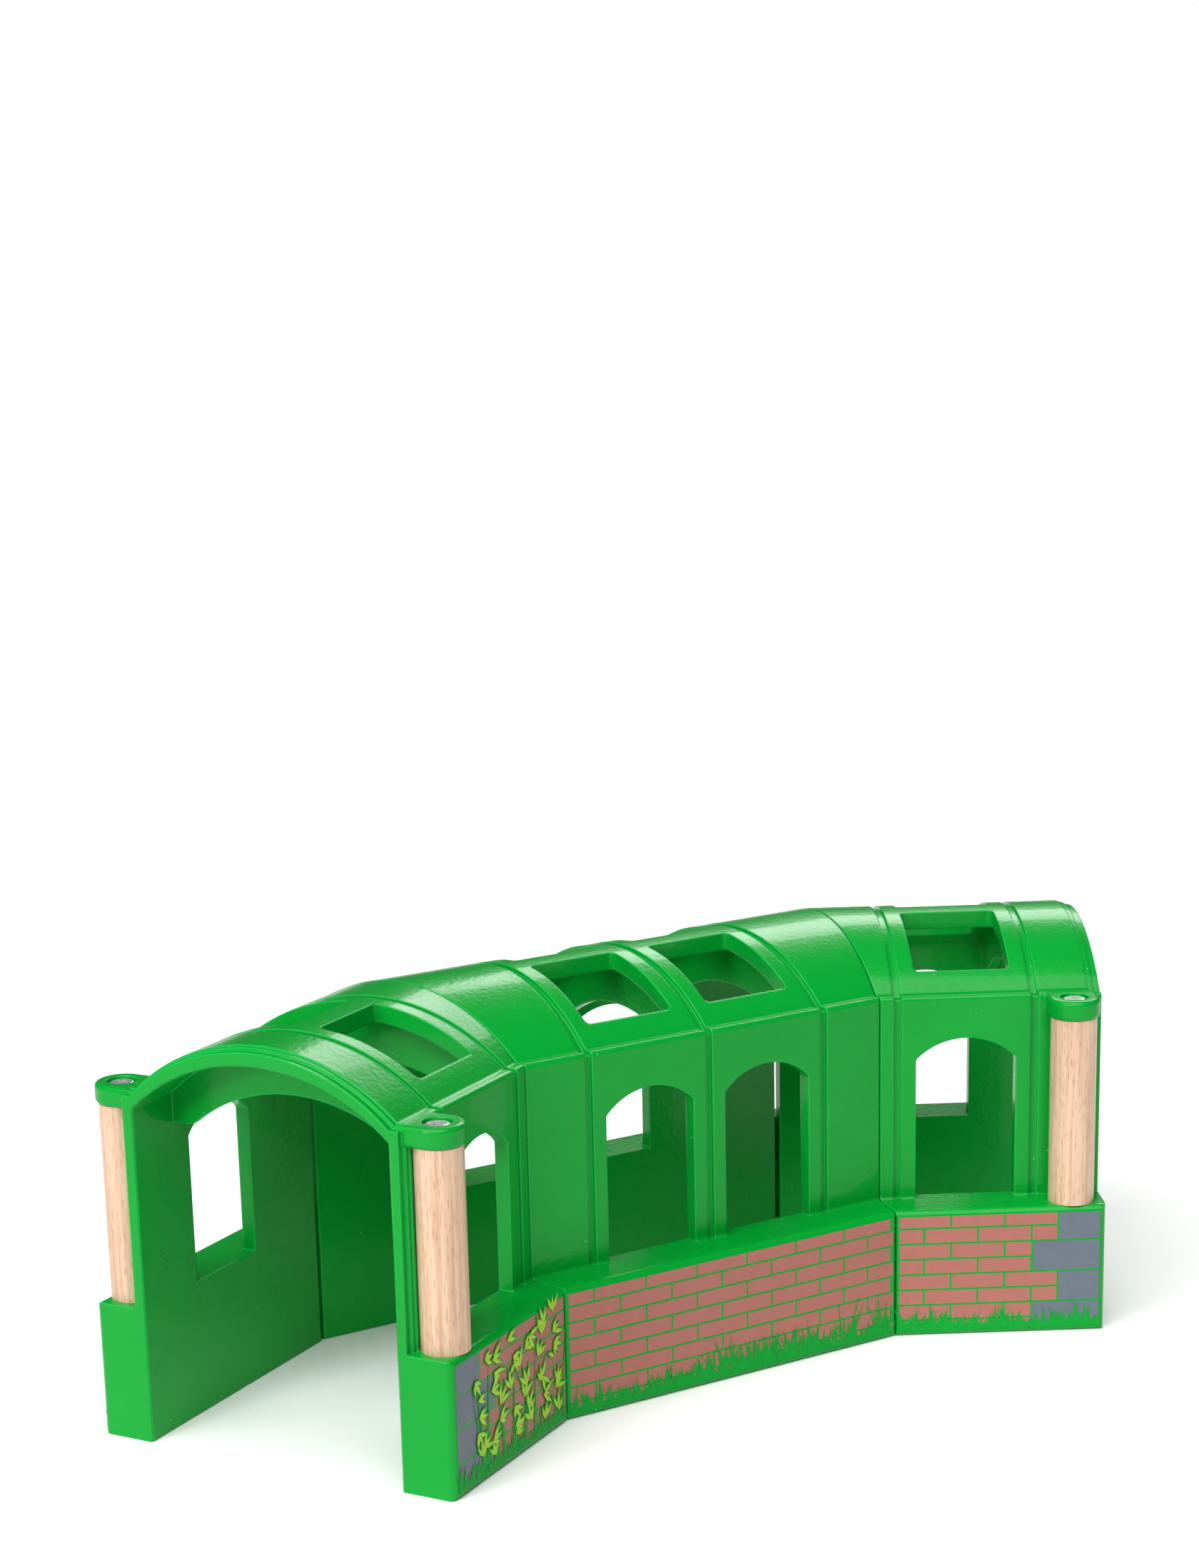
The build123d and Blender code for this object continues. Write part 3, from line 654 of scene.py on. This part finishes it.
creeper = {
    "inputs": {
        "Sprays": 42,
        "Columns": 6,
        "Leaves": 3,
        "From": (0.007, 0.004, 0.0),
        "To": (0.051, 0.0325, 0.0),
        "Leaf length": 0.0048,
        "Leaf width": 0.0012,
        "Fan": 0.56,                # from one leaf of a spray to the next
        "Stems": 9,
        "Seed": 11,
        "Lift": 0.00022,
    },
    "leaf": {"lift": 0.00012, "wider": 1.0, "longer": 1.0},
    "rim": {"lift": 0.0, "wider": 1.5, "longer": 1.2},
    "missing": 0.10,                # share of the leaves left out
    # drawn for each spray, leaf or stem
    "spot": (0.12, 0.88),           # within the spray's own cell
    "aim": (-2.6, 0.6),
    "length": (0.65, 1.15),
    "step": (0.0, 0.0001),
    "stemSink": (0.00002, 0.00006),
    "stemRise": (0.55, 1.0),
    "stemWidth": (0.0012, 0.0022),
    "stemLean": (-0.30, 0.30),
}


def makeCreeper():
    # sprays of pointed leaves on thin stems, each leaf with a rim of plain green round it
    tree, given, target = printTree("creeper", creeper["inputs"], ["Leaf ink", "Rim ink"])
    plus, minus, times, over, timesPlus = sums(tree)

    def drawn(low, high, step, number=None):
        return chance(tree, low, high, plus(given["Seed"], step), number)

    number = pointNumber(tree)
    low, high = parted(tree, given["From"]), parted(tree, given["To"])
    spray = figure(tree, "FLOOR", over(number, given["Leaves"]))
    leaf = figure(tree, "MODULO", number, given["Leaves"])

    def jittered(cell, count, first, last, step):
        # a loose grid: each spray keeps to its own cell
        spot = plus(cell, drawn(*creeper["spot"], step, spray))
        return timesPlus(over(spot, count), minus(last, first), first)

    rows = over(given["Sprays"], given["Columns"])
    column = figure(tree, "MODULO", spray, given["Columns"])
    level = figure(tree, "FLOOR", over(spray, given["Columns"]))
    middle = jittered(column, given["Columns"], low[0], high[0], 0.0)
    upright = jittered(level, rows, low[1], high[1], 2.0)
    fan = timesPlus(minus(leaf, 1.0), given["Fan"], drawn(*creeper["aim"], 3.0, spray))
    length = times(given["Leaf length"], drawn(*creeper["length"], 4.0))
    shown = figure(tree, "GREATER_THAN", drawn(0.0, 1.0, 5.0), creeper["missing"])
    kite = moved(tree, polygon(tree, 4), Translation=(0.0, 0.5, 0.0), Scale=(0.5, 0.5, 1.0))

    def sprays(layer):
        height = plus(plus(given["Lift"], layer["lift"]), drawn(*creeper["step"], 10.0))
        wide, tall = times(given["Leaf width"], layer["wider"]), times(length, layer["longer"])
        count = times(given["Sprays"], given["Leaves"])
        points = sizedPoints(tree, count, vector(tree, middle, upright, height), wide, tall)
        return laidOn(tree, points, kite, turn=fan, keep=shown)

    sunk = minus(given["Lift"], drawn(*creeper["stemSink"], 11.0))
    place = vector(tree, drawn(low[0], high[0], 6.0), low[1], sunk)
    rise = times(minus(high[1], low[1]), drawn(*creeper["stemRise"], 7.0))
    stems = sizedPoints(tree, given["Stems"], place, drawn(*creeper["stemWidth"], 8.0), rise)
    stems = laidOn(tree, stems, triangle(tree), turn=drawn(*creeper["stemLean"], 9.0))
    leaves, rims = sprays(creeper["leaf"]), sprays(creeper["rim"])
    inked(tree, [(leaves, given["Leaf ink"]), (rims, given["Rim ink"]), (stems, given["Rim ink"])], target)
    return tree


trees = {"courses": makeCourses(), "turf": makeTurf(), "creeper": makeCreeper()}
inkThickness = 0.00002


def printed(name, tree, place, body, **values):
    # runs a tree, turns the result into a plain mesh with a little thickness and lays it on its panel
    mesh = bpy.data.meshes.new(name)
    sheet = bpy.data.objects.new(name + ".draft", mesh)
    bpy.context.scene.collection.objects.link(sheet)
    work = sheet.modifiers.new("print", "NODES")
    work.node_group = tree
    for item in tree.interface.items_tree:
        if item.in_out == "INPUT" and item.name in values:
            work[item.identifier] = values[item.name]
    flat = bpy.data.meshes.new_from_object(sheet.evaluated_get(bpy.context.evaluated_depsgraph_get()))
    bpy.data.objects.remove(sheet)
    shape = bmesh.new()
    shape.from_mesh(flat)
    for face in shape.faces:
        if face.normal.z < 0:
            face.normal_flip()
    bmesh.ops.solidify(shape, geom=shape.faces[:], thickness=inkThickness)
    bmesh.ops.transform(shape, matrix=place, verts=shape.verts)
    bmesh.ops.recalc_face_normals(shape, faces=shape.faces)
    shape.to_mesh(flat)
    shape.free()
    piece = bpy.data.objects.new(name, flat)
    flat.name = name
    bpy.context.scene.collection.objects.link(piece)
    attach(piece, body)
    return piece


def panelPlace(section, side, start, stop):
    # maps a panel's x, y, z (along, up, out) onto a plinth face, starting from the viewer's left
    base = sectionFrame(section)
    half = plan["plinthHalf"]
    if side == "near":
        return base @ Matrix(((1, 0, 0, start), (0, 0, -1, -half), (0, 1, 0, 0), (0, 0, 0, 1)))
    return base @ Matrix(((-1, 0, 0, stop), (0, 0, 1, half), (0, 1, 0, 0), (0, 0, 0, 1)))


def seamAt(across):
    # where an end section's seam face meets this side, along its own length
    return -plan["seamRun"] - across * math.tan(plan["bend"] / 2)


# bare paint round a panel, and what the rounded corners add to it
margin = {"panel": 0.0009, "mouth": 0.0007, "hinge": 0.0008, "middleNear": 0.0002, "middleFar": 0.0004}
slope = math.tan(plan["bend"] / 2)
seamNear = seamAt(-plan["plinthHalf"]) + margin["panel"]
seamFar = seamAt(plan["hingeOffset"]) + margin["hinge"] + margin["panel"]
mouth = plan["mouthReach"] - margin["mouth"] - margin["panel"]
middleNear = plan["halfLength"] - plan["plinthHalf"] * slope - margin["panel"] - margin["middleNear"]
middleFar = plan["halfLength"] + plan["hingeOffset"] * slope - margin["panel"] - margin["middleFar"]
panels = [
    # section, side, first and last station, corner stones (1 right, -1 left, 0 none), turf
    ("middle", "near", -middleNear, middleNear, 0, {"Blades": 260, "Swell": 0.0034, "Swell at": 0.60, "Seed": 5}),
    ("middle", "far", -middleFar, middleFar, 0, {"Blades": 330, "Swell": 0.003, "Swell at": 0.3, "Seed": 15}),
    ("rear", "near", seamNear, mouth, 1, {"Blades": 130, "Seed": 8}),
    ("rear", "far", seamFar, mouth, -1, {"Blades": 190, "Seed": 9}),
    ("front", "near", -mouth, -seamNear, -1, {"Blades": 130, "Seed": 21}),
    ("front", "far", -mouth, -seamFar, 1, {"Blades": 190, "Seed": 22}),
]


def printPanels():
    for section, side, start, stop, stones, blades in panels:
        name, body = f"{section}_{side}", section + "_section"
        place, length = panelPlace(section, side, start, stop), stop - start
        layout = {**masonry["ends" if stones else "middle"], "Mirror": -1.0 if stones < 0 else 1.0}
        inks = {"Brick": finishes["brick"], "Stone": finishes["stone"]}
        printed(name + "_courses", trees["courses"], place, body, Length=length, **layout, **inks)
        printed(name + "_turf", trees["turf"], place, body, Length=length, Ink=finishes["turf"], **blades)
        if name == "front_near":
            inks = {"Leaf ink": finishes["leaf"], "Rim ink": finishes["turf"]}
            printed(name + "_creeper", trees["creeper"], place, body, **inks)


printPanels()
print("printed panels on the plinths")
